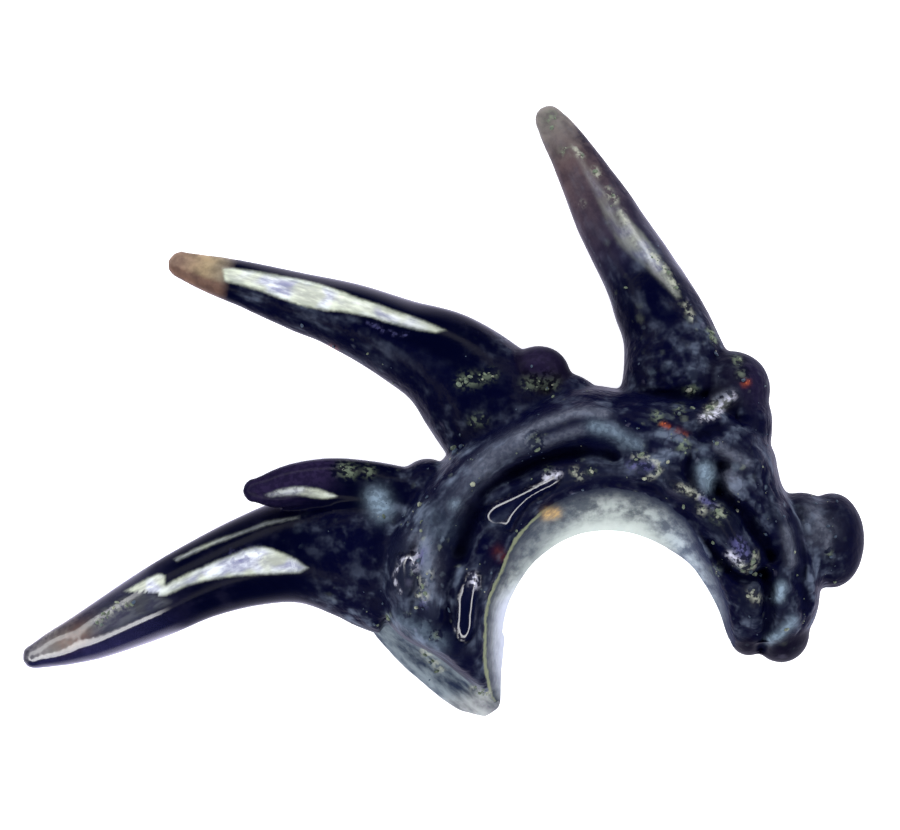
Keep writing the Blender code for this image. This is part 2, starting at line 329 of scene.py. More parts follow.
# Mineral stains, painted shade and painted highlights: colour, strength, half width, and the points that each
# runs through.
# They are laid one over the other in this order. The near-black colour is painted shade in the grooves, under
# the arch's rim, along the fangs' edges and on the far sides of the lumps. The white marks, and many thin
# cream and lilac lines with a grey one on the slanted ridge, are painted highlights of the lamp and the sheen
# inside their loops.
STAIN_SHADE_AND_HIGHLIGHT_COLOURS = {
    # near-black painted shade
    "painted_shade": (0.0012, 0.0018, 0.014),
    "bluish": (0.25, 0.34, 0.41),
    "greyish": (0.22, 0.24, 0.29),
    "greenish": (0.20, 0.25, 0.16),
    "rusty": (0.42, 0.08, 0.02),
    "amber": (0.55, 0.36, 0.14),
    "plum": (0.022, 0.015, 0.045),
    "cream": (0.50, 0.52, 0.40),
    "lilac": (0.10, 0.10, 0.24),
    # pale painted highlight
    "white": (0.70, 0.70, 0.80),
}
STAINS_SHADE_AND_HIGHLIGHTS = (
    ("painted_shade", 0.95, 8.5, (-122, 140, -105, 156, -85, 167, -65, 177, -46, 183, -25, 186, -8, 183)),
    ("painted_shade", 0.95, 5.5, (-64, 131, -42, 145, -19, 153, 3, 156, 32, 156, 55, 144, 77, 124, 95, 99,
        112, 78)),
    ("painted_shade", 0.8, 10, (-130, 122, -135, 109, -138, 98)), ("painted_shade", 0.75, 34, (233, 112, 233, 82)),
    ("painted_shade", 0.45, 10, (-195, 33, -172, 22, -152, 5, -138, -15)),
    ("lilac", 0.45, 1.5, (-228, 307, -215, 299, -202, 295, -190, 294)),
    ("white", 0.6, 1.3, (-185.4, 83.6, -194.7, 81.7, -201, 70.7, -202, 61.5, -196.7, 50.4)),
    ("white", 0.8, 3.2, (-60, 159, -48, 162)), ("cream", 0.7, 3, (-33, 166, -27, 160)),
    ("greenish", 0.6, 3, (-58, 167)), ("greenish", 0.6, 3.5, (-16, 166)),
    ("painted_shade", 0.6, 20, (142, 262, 150, 240, 152, 215)), ("bluish", 1.0, 9.5, (-219, 139, -214, 129)),
    ("bluish", 0.5, 5, (-146, 134)), ("bluish", 0.8, 7.5, (91, 166, 93, 154)),
    ("bluish", 0.9, 4.5, (163, 56, 161, 46)), ("bluish", 0.6, 4.5, (153, 5, 164, 12, 174, 23)),
    ("bluish", 0.25, 9, (-198, 22, -180, 14, -161, 3)), ("bluish", 0.5, 6, (-15, 208, 4, 202)),
    ("bluish", 0.4, 6, (13, 197, 27, 189)), ("bluish", 0.1, 12, (-167, 123, -160, 109, -154, 114)),
    ("greyish", 0.12, 10, (-143, 133, -133, 153, -120, 168)),
    ("greyish", 0.28, 10, (-120, 168, -106, 180, -95, 187, -85, 193)),
    ("greyish", 0.45, 4.5, (-84, 198, -70, 206, -53, 213, -36, 219, -19, 221, -4, 219)),
    ("greyish", 0.3, 4.5, (-74, 191, -60, 192, -44, 199, -27, 204)),
    ("greyish", 0.4, 8, (113, 162, 117, 153)), ("greyish", 0.35, 5, (103, 189, 114, 181, 129, 173)),
    ("greyish", 0.3, 10, (-179, 100, -169, 81, -171, 52)),
    ("greyish", 0.25, 12, (194, 128, 199, 104, 207, 111)),
    ("greyish", 0.35, 5, (167, 109, 171, 92, 173, 79)), ("greenish", 0.7, 6, (-251, 167, -245, 165)),
    ("greenish", 0.6, 5, (-227, 165)), ("greenish", 0.8, 5.5, (70, 190)), ("greenish", 0.6, 5, (46, 217)),
    ("greenish", 0.6, 4, (76, 242, 81, 242)), ("cream", 0.8, 3.6, (88, 128)),
    ("lilac", 0.6, 4.5, (21, 170, 40, 170)),
    ("cream", 0.7, 2.4, (24, 179, 35, 179, 47, 171, 46, 164, 39, 160)),
    ("cream", 0.8, 2.8, (67, 150, 76, 146, 85, 141)), ("lilac", 0.8, 2.6, (86, 140, 94, 135, 102, 130)),
    ("cream", 0.6, 2.6, (102, 130, 107, 124)), ("lilac", 0.8, 6, (122, 97, 127, 87)),
    ("white", 0.9, 2.6, (114, 87, 124, 78)), ("cream", 0.7, 2.4, (124, 78, 129, 72, 137, 77, 138, 88)),
    ("cream", 0.6, 3.6, (135, 50, 140, 44)), ("white", 0.8, 3, (-182, 88, -183, 74)),
    ("lilac", 0.6, 3.5, (-175, 90, -179, 79)), ("cream", 0.6, 2.6, (-169, 69, -170, 65)),
    ("cream", 0.5, 2.4, (-177, 64, -176, 56)), ("cream", 0.8, 2.4, (-179, 50, -180, 46)),
    ("cream", 0.7, 2.2, (-172, 48, -173, 44)), ("lilac", 0.6, 4, (-174, 41)),
    ("greenish", 0.6, 2.6, (-208, 28)), ("greenish", 0.6, 2.2, (-190, 31)),
    ("greenish", 0.6, 2.8, (-163, 10)), ("white", 0.9, 3.6, (-128, 66, -127, 58)),
    ("cream", 0.6, 3.5, (-175, -7, -158, -25)), ("cream", 0.6, 4, (-126, -42, -115, -48)),
    ("plum", 0.5, 4, (-124, -57, -107, -63)), ("lilac", 0.5, 7.5, (-355, 80, -330, 84)),
    ("greenish", 0.5, 5, (-127, 213, -120, 214)), ("greenish", 0.5, 6, (-137, 250, -130, 251)),
    ("greenish", 0.4, 5, (-121, 252, -110, 256)), ("greenish", 0.5, 6, (-76, 248, -60, 248, -53, 248)),
    ("greenish", 0.5, 5, (-70, 194)), ("greenish", 0.6, 6, (104, 123)), ("greenish", 0.4, 5, (101, 73)),
    ("greenish", 0.6, 4.5, (122, 270)), ("greenish", 0.6, 4, (126, 257)), ("greenish", 0.4, 5, (67, 223)),
    ("painted_shade", 0.7, 5.5, (-550, -20, -556, -13, -550, -2, -535, 6.5, -513, 20, -491.5, 34, -470, 49,
        -448, 63.5)),
    ("rusty", 0.1, 8, (-520, -1, -502, 8)), ("cream", 0.25, 5, (-486, 21, -472, 31, -458, 38)),
    ("painted_shade", 0.75, 8.5, (-24, 486, 3, 450, 32, 410, 64, 369, 89, 328)),
    ("cream", 0.7, 3, (-12, 452, -9, 447)), ("cream", 0.6, 3, (-30, 472, -25, 465)),
    ("cream", 0.6, 3.4, (0, 432, 7, 422)), ("cream", 0.5, 2.6, (-24, 419)),
    ("cream", 0.6, 2.8, (74, 322, 80, 310)), ("greenish", 0.6, 2.8, (96, 298, 102, 288)),
    ("cream", 0.5, 2.6, (13, 412, 20, 398)), ("cream", 0.7, 3, (40, 374, 55, 355, 65, 338)),
    ("greenish", 0.6, 6, (-54, 502)), ("greenish", 0.5, 5, (-40, 470)),
    ("rusty", 0.9, 2.8, (129, 248, 132, 249)), ("rusty", 0.8, 2, (50, 210, 56, 207)),
    ("rusty", 0.25, 3, (65, 203, 72, 199)), ("rusty", 0.12, 5, (-105, 90, -101, 85)),
    ("rusty", 0.7, 3, (-263, 281, -260, 279)), ("amber", 0.9, 5, (-58, 124, -50, 125)),
    ("white", 0.95, 3.2, (89, 215, 98, 218, 105, 222)), ("cream", 0.8, 2.6, (93, 224, 101, 228)),
    ("white", 0.95, 3.4, (106, 227, 112, 232, 117, 236)), ("greyish", 0.7, 3.5, (102, 233, 110, 237)),
    ("painted_shade", 0.8, 20, (232, 128, 242, 105, 236, 75)), ("greyish", 0.35, 4, (199, 122, 203, 110)),
    ("greyish", 0.4, 3.5, (209, 102, 207, 90)), ("greenish", 0.6, 3, (210, 86)),
    ("plum", 0.8, 16, (-330, 147, -305, 152, -275, 162)), ("plum", 0.4, 16, (137, 259, 141, 240)),
    ("plum", 0.7, 16, (-67, 269, -59, 263)), ("plum", 0.5, 10, (-307, 171, -264, 174)),
)

# Painted highlights of the lamp, laid on the enameloid as pale mineral films: strength, width of the fading
# edge, and the outline of each
HIGHLIGHT_FILMS = {
    "on the middle fang": (1.0, 2, (-367, 358, -354, 358, -332, 355, -311, 351, -290, 347, -270, 342,
        -250, 335, -235, 329, -219, 324, -203, 318, -185, 312, -167, 305, -152, 298, -163, 295.5,
        -180, 298, -198, 302, -212, 306, -224, 310, -239, 313, -255, 316, -270, 317, -290, 321, -311, 328,
        -332, 336, -350, 341, -365, 345)),
    "on the left fang": (0.95, 3, (-462, 50, -450, 57, -437, 64, -427, 68, -420, 66, -420, 57, -414, 61,
        -400, 68, -386, 74, -371, 81, -357, 86, -346, 91, -336, 94, -326, 94, -316, 91, -306, 87,
        -295, 82, -283, 73, -292, 68, -312, 67, -332, 66, -350, 65, -365, 63, -382, 60, -398, 56,
        -410, 50, -420, 46, -434, 45, -446, 48)),
    "along the left fang's upper side": (0.5, 3, (-414, 81, -394, 91, -373, 100, -349, 108, -324, 118,
        -292, 123, -292, 120, -323, 113, -348, 104, -372, 95, -393, 86, -410, 78)),
    "inside the left tip": (0.08, 8, (-543, -6, -534, 0, -524, 5, -510, 14, -490, 28, -479, 36, -467, 43,
        -443, 55, -430, 52, -412, 42, -414, 37, -439, 25, -464, 13, -496, 0, -511, -7, -524, -11,
        -536, -13, -543, -11)),
    "on the cusp": (1.0, 2, (-326, 143, -313, 148, -300, 151, -287, 151, -275, 149, -264, 145, -255, 141,
        -266, 138, -278, 139, -293, 142, -307, 141, -321, 140)),
    "veil on the upper fang": (0.25, 11, (-31, 480, -17, 456, -1, 432, 13, 411, 30, 390, 45, 371, 57, 352,
        70, 328, 65, 326, 49, 342, 36, 355, 22, 366, 8, 380, -2, 399, -10, 418, -18, 435, -28, 456,
        -38, 477)),
    "on the upper fang": (0.42, 8, (4, 424, 18, 410, 35, 392, 49, 373, 61, 353, 72, 329, 65, 326, 49, 344,
        36, 358, 25, 370, 13, 384, 7, 398)),
    "on the slanted ridge": (0.22, 5, (86, 217, 91, 224, 99, 230, 108, 235, 116, 238, 119, 233, 113, 225,
        104, 219, 96, 215, 88, 213)),
}

# How much silt clings where it is more or less than elsewhere: amount, half width and run
DUST_ELSEWHERE = 0.8
DUST = (
    (0.05, 42, (-175, 275, -135, 245, -85, 245, -45, 255)), (0.15, 30, (-305, 60, -270, 78, -240, 80)),
    (0.3, 25, (-320, 290, -260, 275, -210, 260)), (0.2, 14, (-260, 142, -240, 150)),
    (0.3, 30, (233, 110, 233, 82)), (1.0, 16, (214, 115, 218, 85)), (0.3, 16, (55, 230, 95, 228)),
    (0.35, 20, (-255, 135, -225, 110)), (0.4, 16, (-20, 255, 15, 242)), (0.45, 35, (40, 310, 55, 270)),
    (0.4, 20, (145, 220, 155, 190)), (0.3, 12, (-150, 5, -130, -20, -122, -35)),
    (0.4, 8, (-200, 36, -175, 30, -160, 20)), (1.5, 22, (-180, 90, -170, 50)),
)

# Horn-brown points of the fangs: distance from the point, colour and cover
TIPS = {
    "left": (
        (0.0, 0.21, 0.20, 0.21, 0.90), (0.3, 0.26, 0.23, 0.20, 0.90), (0.55, 0.105, 0.075, 0.065, 0.90),
        (0.85, 0.035, 0.033, 0.05, 0.80), (1.3, 0.03, 0.03, 0.06, 0.40), (1.8, 0.02, 0.02, 0.05, 0.0),
    ),
    "middle": (
        (0.0, 0.30, 0.20, 0.14, 0.95), (0.25, 0.37, 0.28, 0.16, 0.95), (0.42, 0.27, 0.22, 0.15, 0.90),
        (0.54, 0.20, 0.16, 0.14, 0.0),
    ),
    "upper": (
        (0.0, 0.20, 0.18, 0.16, 0.90), (0.5, 0.10, 0.068, 0.068, 0.90), (0.9, 0.075, 0.052, 0.062, 0.85),
        (1.3, 0.05, 0.037, 0.055, 0.70), (1.9, 0.02, 0.02, 0.06, 0.0),
    ),
}
# The colour of two points on the fang's lower side, towards -Y: violet and amber
LOWER_SIDES = {"left": (0.018, 0.016, 0.052), "middle": (0.17, 0.10, 0.07)}


def add_object(name, data):
    obj = bpy.data.objects.new(name, data)
    scene.collection.objects.link(obj)
    return obj


def evaluated_mesh(obj):
    graph = bpy.context.evaluated_depsgraph_get()
    return bpy.data.meshes.new_from_object(obj.evaluated_get(graph))


def fused(bm, name):
    bmesh.ops.recalc_face_normals(bm, faces=bm.faces)
    lofts = bpy.data.meshes.new("lofts")
    bm.to_mesh(lofts)
    bm.free()
    obj = add_object("lofts", lofts)
    remesh = obj.modifiers.new("fuse", "REMESH")
    remesh.mode = "VOXEL"
    remesh.voxel_size = VOXEL
    soften = obj.modifiers.new("soften", "SMOOTH")
    soften.factor = 0.5
    soften.iterations = SOFTENING
    mesh = evaluated_mesh(obj)
    mesh.name = name
    bpy.data.objects.remove(obj, do_unlink=True)
    return mesh


def vectors_of(mesh, what):
    found = np.empty(len(mesh.vertices) * 3, np.float32)
    mesh.vertices.foreach_get(what, found)
    return found.reshape(-1, 3).astype(float)


def set_points(mesh, points):
    mesh.vertices.foreach_set("co", points.astype(np.float32).ravel())
    mesh.update()


def store(mesh, name, kind, values):
    field = {"FLOAT": "value", "FLOAT_VECTOR": "vector", "FLOAT_COLOR": "color"}[kind]
    layer = mesh.attributes.new(name, kind, "POINT")
    layer.data.foreach_set(field, values.astype(np.float32).ravel())


def step(values, low, high):
    """0 below low and 1 above high, with a smooth rise between; low above high turns it round."""
    t = np.clip((values - low) / (high - low), 0, 1)
    return t * t * (3 - 2 * t)


def gap_to(points, run):
    """Distance in plan from each point to a run of straight lines."""
    gap = np.full(len(points), np.inf)
    for a, b in zip(run, run[1:]):
        part = np.clip((points[:, :2] - a) @ (b - a) / ((b - a) @ (b - a)), 0, 1)
        gap = np.minimum(gap, np.linalg.norm(points[:, :2] - a - part[:, None] * (b - a), axis=1))
    return gap


def in_plan(run):
    """Points in millimetres from x, y, x, y and so on in hundredths of a millimetre."""
    return np.array(run, float).reshape(-1, 2) / 100


def nearness(points, run, half_width):
    """1 on a run from a table, fading smoothly to nearly 0 at twice its half width."""
    run = in_plan(run)
    if len(run) == 1:
        gap = np.linalg.norm(points[:, :2] - run[0], axis=1)
    else:
        gap = gap_to(points, smooth_rows(run, 4) if len(run) > 2 else run)
    return np.exp(-((gap / (half_width / 100)) ** 2))


def depth_inside(points, outline):
    """How deep each point lies inside an outline from a table, and below 0 outside it."""
    ring = in_plan([*outline, *outline[:2]])
    within = np.zeros(len(points), bool)
    for (ax, ay), (bx, by) in zip(ring, ring[1:]):
        crosses = (ay > points[:, 1]) != (by > points[:, 1])
        at = ax + (points[:, 1] - ay) * (bx - ax) / (by - ay if by != ay else 1)
        within ^= crosses & (points[:, 0] < at)
    return np.where(within, 1, -1) * gap_to(points, ring)


def hashed(cells, seed):
    """A number from -1 to 1 for each cell of a grid, the same every time."""
    mixed = (cells @ np.array([73856093, 19349663, 83492791]) + seed * 7919) & 0xFFFFFFFF
    mixed = ((mixed ^ (mixed >> 15)) * 0x2C1B3C6D) & 0xFFFFFFFF
    mixed = ((mixed ^ (mixed >> 12)) * 0x297A2D39) & 0xFFFFFFFF
    return (mixed ^ (mixed >> 15)) / 0x7FFFFFFF - 1


def waves(points, length, octaves, seed):
    """Smooth noise, about -1 to 1, whose broadest waves are length long (one number, or one an axis)."""
    total = np.zeros(len(points))
    for octave in range(octaves):
        at = points / length * 2**octave + 17.3 * octave
        cells = np.floor(at).astype(np.int64)
        t = at - cells
        t = t * t * (3 - 2 * t)
        for corner in np.ndindex(2, 2, 2):
            share = np.prod(np.where(corner, t, 1 - t), axis=1)
            total += share * hashed(cells + corner, seed + octave) / 2**octave
    return total


def pebbles(points, length, seed):
    """Rounded grains packed side by side: how high each point is on its grain, from 0 to 1, and the
    grain's own number."""
    at = points / length
    base = np.floor(at).astype(np.int64)
    nearest, second, own = np.full(len(at), 9.0), np.full(len(at), 9.0), np.zeros(len(at))
    for corner in np.ndindex(3, 3, 3):
        cells = base + corner - 1
        middle = cells + 0.5 + 0.45 * np.column_stack([hashed(cells, seed + i) for i in range(3)])
        gap = np.linalg.norm(at - middle, axis=1)
        closer = gap < nearest
        second = np.where(closer, nearest, np.minimum(second, gap))
        own = np.where(closer, hashed(cells, seed + 5), own)
        nearest = np.minimum(nearest, gap)
    return step(second - nearest, 0.0, 0.45), own


tooth_mesh = fused(tooth_lofts, "tooth_body")
points, normals = vectors_of(tooth_mesh, "co"), vectors_of(tooth_mesh, "normal")
radius = np.hypot(points[:, 0], points[:, 1])
angle = (np.degrees(np.arctan2(points[:, 1], points[:, 0])) + 90) % 360 - 90
places = {name: fang.locate(points) for name, fang in FANGS.items()}


def on_fang(name, near_tip, near_root):
    """1 on a fang as far as near_tip from its tip, and 0 from near_root on."""
    from_tip, _, _, inside = places[name]
    return inside * step(from_tip, near_root, near_tip)


def on_lump(name, size):
    """1 on a lump, fading out at size times its radii."""
    x, y, z, along, across, upright, turn = LUMPS[name]
    c, s = math.cos(math.radians(turn)), math.sin(math.radians(turn))
    dx, dy, dz = (points - (x, y, z)).T
    squares = ((dx * c + dy * s) / along) ** 2 + ((dy * c - dx * s) / across) ** 2 + (dz / upright) ** 2
    return step(np.sqrt(squares), size + 0.2, size)


# How deep a point lies inside the arch. The wall starts at the upper flank's inner rim.
rim_rows = smooth_rows(sections_of(ROOT), 8)
rim_rows = rim_rows[np.argsort(rim_rows[:, 0])]
rim = np.interp(angle, rim_rows[:, 0], rim_rows[:, 1])
rim_depth = rim + 0.015 - radius
in_arch = step(angle, -6, 2) * step(angle, 212, 204)
rim_depth = np.where(in_arch > 0.5, rim_depth, -1.0)

# Enameloid covers the fangs and thins out towards the root
left_side = places["left"][1]
middle_tip, middle_side = places["middle"][:2]
upper_tip, upper_side = places["upper"][:2]
skins = (
    on_fang("left", 2.6, 3.6), on_fang("cusp", 0.9, 1.6), on_fang("middle", 2.6, 3.6),
    0.6 * on_fang("upper", 1.8, 3.0),
)
glossy = np.max(skins, axis=0)
glossy *= 1 - 0.6 * on_fang("middle", 2.8, 3.4) * step(middle_side, 0.1, -0.1) * step(middle_tip, 0.4, 0.8)

# Where the enameloid still has its polish: sharp reflections of a lamp show only there
shine = on_fang("left", 1.25, 1.55) * (1 - 0.55 * step(left_side, -0.1, 0.15))
shine += 0.25 * on_fang("middle", 2.1, 2.6) * step(middle_side, 0.1, 0.3) * step(middle_tip, 0.35, 0.55)
shine += 0.3 * on_fang("upper", 1.9, 2.3) * step(upper_tip, 1.0, 1.5) * step(upper_side, 0.2, 0.4)
shine = np.minimum(shine, 1)

# Smooth, dark heads of the worn lumps
worn_heads = (
    on_lump("denticle", 1.05), on_lump("outer lobe", 1.0), on_lump("inner lobe", 1.0),
    0.5 * on_lump("stump", 1.0),
    0.8 * on_lump("side knob head", 1.05) * step(points[:, 0], 2.05, 2.35),
)
heads = np.max(worn_heads, axis=0)

# Relief of the upper flank: folds, then bosses whose edges keep a polished line
upper_flank = step(normals[:, 2], 0.1, 0.5) * step(points[:, 2], 0.7, 1.0) * step(rim_depth, 0.0, -0.05)
upper_flank *= 1 - np.max([on_fang("left", 2.6, 3.2), on_fang("middle", 2.4, 3.0)], axis=0)
lift = np.zeros(len(points))
for _, height, half_width, gloss, run in FOLDS:
    near = nearness(points, run, half_width)
    lift += height / 100 * near
    glossy = np.maximum(glossy, gloss * upper_flank * np.sqrt(near))
for height, edge, outline, polished in BOSSES.values():
    edge /= 100
    depth = depth_inside(points, outline)
    lift += height / 100 * step(depth, -edge, edge)
    kept = np.minimum(1.6 * nearness(points, polished, 10), 1)
    glossy = np.maximum(glossy, upper_flank * step(depth, -1.1 * edge, -0.5 * edge) * np.maximum(kept, 0.5))
    shine = np.maximum(shine, upper_flank * step(depth, -0.2 * edge, 0.15 * edge) * kept)
points[:, 2] += lift * upper_flank
set_points(tooth_mesh, points)
normals = vectors_of(tooth_mesh, "normal")

# Grain: cloudy waves and packed pebbles on the bone, fine streaks along each fang's growth
wall = step(rim_depth, 0.0, 0.03)
flange = step(points[:, 2], 1.15, 0.60) * step(angle, 168, 176) * step(radius, 2.9, 2.6) * (1 - wall)
rough = (1 - glossy) * (1 - 0.75 * heads) * (0.35 + 0.65 * upper_flank)
grain = waves(points, 0.30, octaves=2, seed=3) * 0.022 + waves(points, 0.13, octaves=2, seed=7) * 0.006
growth = np.column_stack([radius, np.radians(angle) * 2.0, points[:, 2]])
streaks = step(radius, 2.5, 2.2)
for name, fang in FANGS.items():
    from_tip, side, height, inside = places[name]
    length = fang.from_tip[-1]
    along = np.column_stack([side * fang.half_width.mean(), from_tip, height * 0.3])
    here = inside * step(from_tip, length - 0.9, length - 1.4)
    growth = np.where((here > 0)[:, None], along, growth)
    streaks = np.where(here > 0, here, streaks * (1 - inside))
grain += waves(growth, (0.07, 0.45, 0.2), octaves=2, seed=1) * 0.005 * streaks
bent = points + 0.03 * np.column_stack([waves(points, 0.15, octaves=1, seed=i) for i in (21, 22, 23)])
pebble, pebble_kind = pebbles(bent, PEBBLE, 31)
pebbled = rough * upper_flank * np.maximum(step(angle, 95, 70), 0.10) * step(points[:, 2], 0.9, 1.3)
grain += (pebble - 0.6) * 0.022 * pebbled
fibres = waves(growth, (0.10, 1.4, 0.4), octaves=2, seed=11) * 0.004
points += normals * (grain * rough)[:, None]
points += normals * (fibres * glossy * streaks)[:, None]
set_points(tooth_mesh, points)
normals = vectors_of(tooth_mesh, "normal")

# Horn-brown points, painted highlights as pale films, mineral stains with painted shade and highlights,
# and dust, each as a value or colour at every point
above = step(normals[:, 2], -0.1, 0.2)
horn, horn_cover = np.zeros((len(points), 3)), np.zeros(len(points))
for name, rows in TIPS.items():
    from_tip, side, _, inside = places[name]
    rows = np.array(rows)
    part = inside * np.interp(from_tip, rows[:, 0], rows[:, 4])
    shade = np.column_stack([np.interp(from_tip, rows[:, 0], rows[:, i]) for i in (1, 2, 3)])
    if name in LOWER_SIDES:
        low_side = step(side, -0.10, -0.35)[:, None]
        shade = shade * (1 - low_side) + np.array(LOWER_SIDES[name]) * low_side
    here = part > horn_cover
    horn[here], horn_cover[here] = shade[here], part[here]
# Painted highlights, laid as pale films
highlight_film, highlight_film_strength = np.full(len(points), -1.0), np.zeros(len(points))
for strength, fading, outline in HIGHLIGHT_FILMS.values():
    depth = depth_inside(points, outline)
    highlight_film_strength = np.where(depth > highlight_film, strength * step(depth, -0.02, fading / 100), highlight_film_strength)
    highlight_film = np.maximum(highlight_film, depth)
highlight_film = np.where(above > 0.5, highlight_film, -1.0)
highlight_film_strength *= 1 - 0.3 * on_fang("middle", 2.6, 3.2) * step(middle_tip, 1.7, 2.4)

tint = np.zeros((len(points), 3))
cover = np.zeros(len(points))
clusters, rust, dotted = (np.zeros(len(points)) for _ in range(3))
off_the_table = step(points[:, 2], 0.05, 0.15)
# Stains, painted shade and painted highlights, laid one over another
for colour, strength, half_width, run in STAINS_SHADE_AND_HIGHLIGHTS:
    near = nearness(points, run, half_width) * off_the_table * above
    if colour in ("greenish", "cream", "lilac", "white"):
        dotted = np.maximum(dotted, near)
    if colour in ("greenish", "cream"):
        clusters = np.maximum(clusters, near)
    if colour == "rusty":
        rust = np.maximum(rust, strength * near)
    part = strength * near
    tint = tint * (1 - part)[:, None] + np.array(STAIN_SHADE_AND_HIGHLIGHT_COLOURS[colour]) * part[:, None]
    cover = cover + part - cover * part
tint /= np.maximum(cover, 1e-4)[:, None]

dusty = np.full(len(points), DUST_ELSEWHERE)
for amount, half_width, run in DUST:
    dusty += (amount - dusty) * nearness(points, run, half_width)

relief = np.clip(lift / FULL_RELIEF, -1, 1) * upper_flank
bare = rough * dusty * step(normals[:, 2], 0.0, 0.4) * (1 - wall)
fields = {
    "gloss": glossy, "shine": shine, "heads": heads, "highlight_film": highlight_film, "highlight_film_strength": highlight_film_strength,
    "rim_depth": rim_depth, "flange": flange, "streaks": streaks, "relief": relief, "around": angle,
    "pebbled": pebbled, "pebble": pebble, "pebble_kind": pebble_kind, "dusty": dusty, "bare": bare,
    "clusters": clusters, "rust": rust, "dotted": dotted,
}
for name, values in fields.items():
    store(tooth_mesh, name, "FLOAT", values)
store(tooth_mesh, "growth", "FLOAT_VECTOR", growth)
store(tooth_mesh, "stains_and_painted_light", "FLOAT_COLOR", np.column_stack([tint, cover]))
store(tooth_mesh, "horn", "FLOAT_COLOR", np.column_stack([horn, horn_cover]))

# From millimetres round the arch's centre to the frame: its origin is under the middle of the box
low, high = points.min(axis=0), points.max(axis=0)
origin = Vector(((low[0] + high[0]) / 2, (low[1] + high[1]) / 2, low[2]))
to_frame = Matrix.Scale(MM, 4) @ Matrix.Translation(-origin)
tooth_mesh.transform(to_frame)
tooth_mesh.shade_smooth()
tooth = add_object("tooth_body", tooth_mesh)


class Nodes:
    """Short ways to add the nodes that the finishes are made of."""

    def __init__(self, tree):
        self.tree = tree

    def feed(self, node, inputs):
        for name, value in dict(inputs).items():
            if isinstance(value, bpy.types.NodeSocket):
                self.tree.links.new(value, node.inputs[name])
            else:
                node.inputs[name].default_value = value

    def add(self, kind, inputs=(), **settings):
        node = self.tree.nodes.new(kind)
        for name, value in settings.items():
            setattr(node, name, value)
        self.feed(node, inputs)
        return node

    def math(self, operation, a, b):
        return self.add("ShaderNodeMath", {0: a, 1: b}, operation=operation).outputs[0]

    def times(self, *values):
        total = values[0]
        for value in values[1:]:
            total = self.math("MULTIPLY", total, value)
        return total

    def rise(self, value, low, high, bottom=0.0, top=1.0):
        inputs = {"Value": value, "From Min": low, "From Max": high, "To Min": bottom, "To Max": top}
        return self.add("ShaderNodeMapRange", inputs, interpolation_type="SMOOTHSTEP").outputs["Result"]

    def blend(self, factor, a, b):
        return self.add("ShaderNodeMix", {0: factor, 2: a, 3: b}).outputs[0]

    def colour(self, factor, a, b):
        a, b = ((*c, 1) if isinstance(c, tuple) else c for c in (a, b))
        return self.add("ShaderNodeMix", {0: factor, 6: a, 7: b}, data_type="RGBA").outputs[2]

    def noise(self, vector, scale, detail=3.0, roughness=0.55):
        inputs = {"Vector": vector, "Scale": scale, "Detail": detail, "Roughness": roughness}
        return self.add("ShaderNodeTexNoise", inputs).outputs["Fac"]

    def field(self, name, output="Fac"):
        return self.add("ShaderNodeAttribute", attribute_name=name).outputs[output]

    def scaled(self, vector, factor):
        return self.add("ShaderNodeVectorMath", {0: vector, "Scale": factor}, operation="SCALE").outputs[0]

    def mapped(self, vector, **settings):
        return self.add("ShaderNodeMapping", {"Vector": vector, **settings}).outputs[0]

    def group(self, tree, **inputs):
        return self.add("ShaderNodeGroup", inputs, node_tree=tree).outputs


def new_group(kind, name, inputs, outputs):
    """An empty node group with inputs and outputs of the kinds given, a maker of its nodes, and what
    its inputs give."""
    tree = bpy.data.node_groups.new(name, kind)
    for direction, sockets in (("INPUT", inputs), ("OUTPUT", outputs)):
        for socket_name, socket_kind in sockets.items():
            tree.interface.new_socket(socket_name, in_out=direction, socket_type="NodeSocket" + socket_kind)
    make = Nodes(tree)
    return tree, make, make.add("NodeGroupInput").outputs


def new_material(name):
    """An empty material, a maker of its nodes, and its shader."""
    material = bpy.data.materials.new(name)
    material.use_nodes = True
    return material, Nodes(material.node_tree), material.node_tree.nodes["Principled BSDF"]


# Specks of quartz and clay stuck to the bone: a mask, and a colour that varies from speck to speck
specks, make, given = new_group(
    "ShaderNodeTree", "clinging specks", {"Place": "Vector", "Density": "Float", "Share": "Float"},
    {"Mask": "Float", "Colour": "Color"}
)
wobble = make.add("ShaderNodeTexNoise", {"Vector": given["Place"], "Scale": 25.0, "Detail": 2.0})
bend = make.scaled(wobble.outputs["Color"], 0.05)
bent = make.add("ShaderNodeVectorMath", {0: given["Place"], 1: bend}, operation="ADD").outputs[0]
cells = make.add("ShaderNodeTexVoronoi", {"Vector": bent, "Scale": given["Density"]}).outputs
cell = make.add("ShaderNodeSeparateColor", {"Color": cells["Color"]}).outputs
picked = make.math("LESS_THAN", cell[0], given["Share"])
body = make.math("SUBTRACT", make.rise(cell[1], 0.0, 1.0, 0.20, 0.50), cells["Distance"])
mask = make.times(make.rise(body, 0.0, 0.35), picked)
tint = make.colour(make.rise(cell[2], 0.2, 0.5), (0.30, 0.35, 0.24), (0.20, 0.27, 0.33))
tint = make.colour(make.rise(cell[2], 0.6, 0.9), tint, (0.27, 0.26, 0.37))
make.add("NodeGroupOutput", {"Mask": mask, "Colour": tint})

